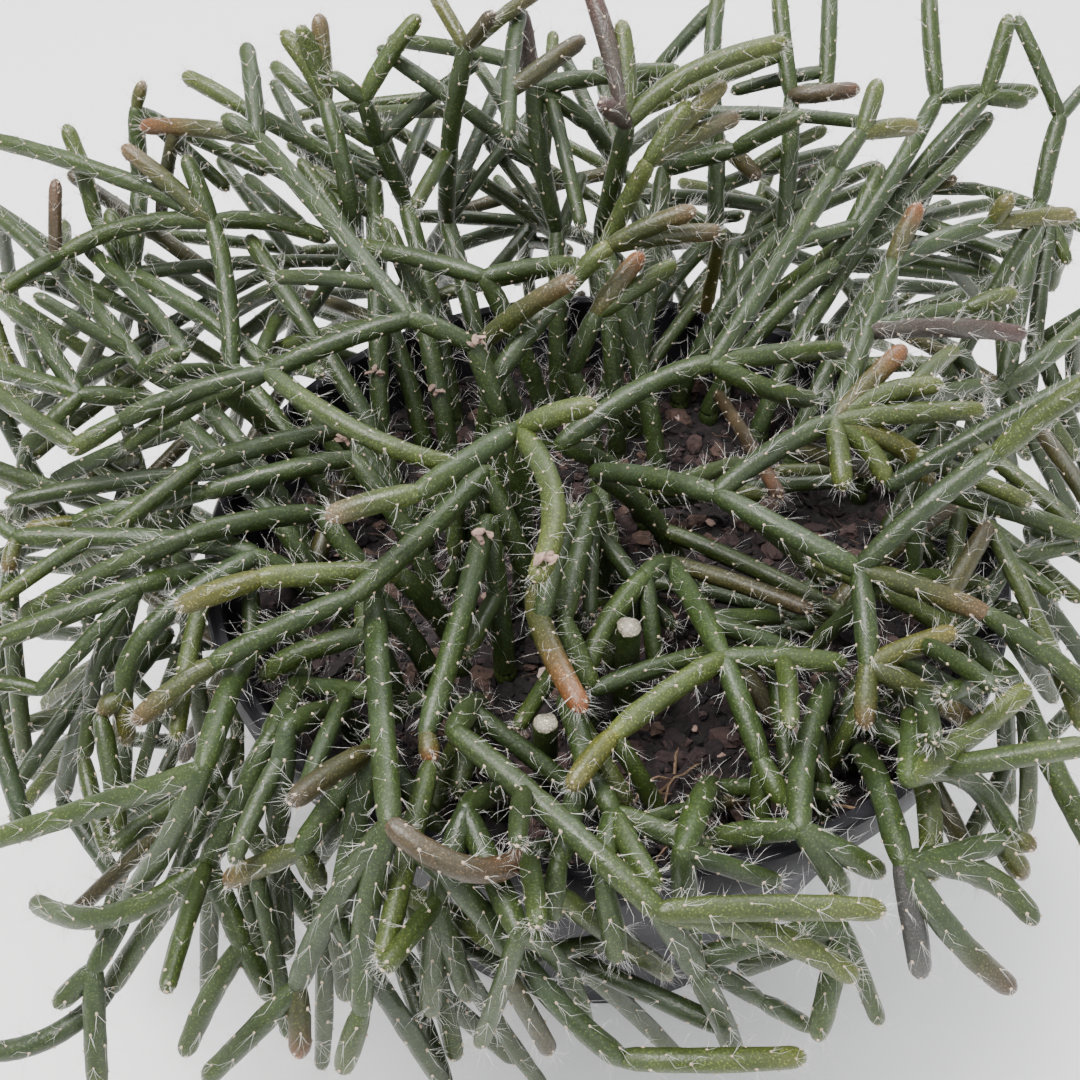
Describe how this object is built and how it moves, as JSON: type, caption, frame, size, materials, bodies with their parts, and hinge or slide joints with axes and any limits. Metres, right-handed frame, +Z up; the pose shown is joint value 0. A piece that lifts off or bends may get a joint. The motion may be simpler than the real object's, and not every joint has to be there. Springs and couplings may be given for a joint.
{
  "type": "mistletoe cactus",
  "caption": "Potted mistletoe cactus: many jointed, bristly cylindrical stems forking and trailing over a round black plastic nursery pot.",
  "frame": {"origin": "middle of the pot's flat base", "axes": "+Z up; the picture's camera looks along +Y and down, so -Y is the side seen in front"},
  "size_m": [0.2464, 0.2088, 0.1639],
  "materials": {
    "pot": "satin black, faint moulding marks",
    "soil": "damp coir crumb",
    "spray_01": "waxy green stem with fine bristles",
    "spray_02": "waxy green stem with fine bristles",
    "spray_03": "waxy green stem with fine bristles",
    "spray_04": "waxy green stem with fine bristles",
    "spray_05": "waxy green stem with fine bristles",
    "spray_06": "waxy green stem with fine bristles",
    "spray_07": "waxy green stem with fine bristles",
    "spray_08": "waxy green stem with fine bristles",
    "spray_09": "waxy green stem with fine bristles",
    "spray_10": "waxy green stem with fine bristles",
    "spray_11": "waxy green stem with fine bristles",
    "spray_12": "waxy green stem with fine bristles",
    "spray_13": "waxy green stem with fine bristles",
    "spray_14": "waxy green stem with fine bristles",
    "spray_15": "waxy green stem with fine bristles",
    "spray_16": "waxy green stem with fine bristles",
    "spray_17": "waxy green stem with fine bristles",
    "spray_18": "waxy green stem with fine bristles",
    "spray_19": "waxy green stem with fine bristles",
    "spray_20": "waxy green stem with fine bristles",
    "spray_21": "waxy green stem with fine bristles",
    "spray_22": "waxy green stem with fine bristles",
    "spray_23": "waxy green stem with fine bristles",
    "spray_24": "waxy green stem with fine bristles",
    "spray_25": "waxy green stem with fine bristles",
    "spray_26": "waxy green stem with fine bristles",
    "spray_27": "waxy green stem with fine bristles",
    "spray_28": "waxy green stem with fine bristles",
    "spray_29": "waxy green stem with fine bristles",
    "spray_30": "waxy green stem with fine bristles",
    "spray_31": "waxy green stem with fine bristles",
    "spray_32": "waxy green stem with fine bristles",
    "spray_33": "waxy green stem with fine bristles",
    "spray_34": "waxy green stem with fine bristles",
    "spray_35": "waxy green stem with fine bristles",
    "spray_36": "waxy green stem with fine bristles",
    "spray_37": "waxy green stem with fine bristles",
    "spray_38": "waxy green stem with fine bristles",
    "spray_39": "waxy green stem with fine bristles",
    "spray_40": "waxy green stem with fine bristles",
    "spray_41": "waxy green stem with fine bristles",
    "spray_42": "waxy green stem with fine bristles",
    "spray_43": "waxy green stem with fine bristles",
    "spray_44": "waxy green stem with fine bristles",
    "spray_45": "waxy green stem with fine bristles",
    "spray_46": "waxy green stem with fine bristles",
    "spray_47": "waxy green stem with fine bristles",
    "spray_48": "waxy green stem with fine bristles",
    "spray_49": "waxy green stem with fine bristles",
    "spray_50": "waxy green stem with fine bristles",
    "spray_51": "waxy green stem with fine bristles",
    "spray_52": "waxy green stem with fine bristles",
    "spray_53": "waxy green stem with fine bristles",
    "spray_54": "waxy green stem with fine bristles",
    "spray_55": "waxy green stem with fine bristles",
    "spray_56": "waxy green stem with fine bristles",
    "stub_01": "waxy green stem with fine bristles",
    "stub_02": "waxy green stem with fine bristles"
  },
  "bodies": {
    "root": {"pot": "pot", "soil": "soil", "spray_01": "spray_01", "spray_02": "spray_02", "spray_03": "spray_03", "spray_04": "spray_04", "spray_05": "spray_05", "spray_06": "spray_06", "spray_07": "spray_07", "spray_08": "spray_08", "spray_09": "spray_09", "spray_10": "spray_10", "spray_11": "spray_11", "spray_12": "spray_12", "spray_13": "spray_13", "spray_14": "spray_14", "spray_15": "spray_15", "spray_16": "spray_16", "spray_17": "spray_17", "spray_18": "spray_18", "spray_19": "spray_19", "spray_20": "spray_20", "spray_21": "spray_21", "spray_22": "spray_22", "spray_23": "spray_23", "spray_24": "spray_24", "spray_25": "spray_25", "spray_26": "spray_26", "spray_27": "spray_27", "spray_28": "spray_28", "spray_29": "spray_29", "spray_30": "spray_30", "spray_31": "spray_31", "spray_32": "spray_32", "spray_33": "spray_33", "spray_34": "spray_34", "spray_35": "spray_35", "spray_36": "spray_36", "spray_37": "spray_37", "spray_38": "spray_38", "spray_39": "spray_39", "spray_40": "spray_40", "spray_41": "spray_41", "spray_42": "spray_42", "spray_43": "spray_43", "spray_44": "spray_44", "spray_45": "spray_45", "spray_46": "spray_46", "spray_47": "spray_47", "spray_48": "spray_48", "spray_49": "spray_49", "spray_50": "spray_50", "spray_51": "spray_51", "spray_52": "spray_52", "spray_53": "spray_53", "spray_54": "spray_54", "spray_55": "spray_55", "spray_56": "spray_56", "stub_01": "stub_01", "stub_02": "stub_02"}
  },
  "joints": []
}
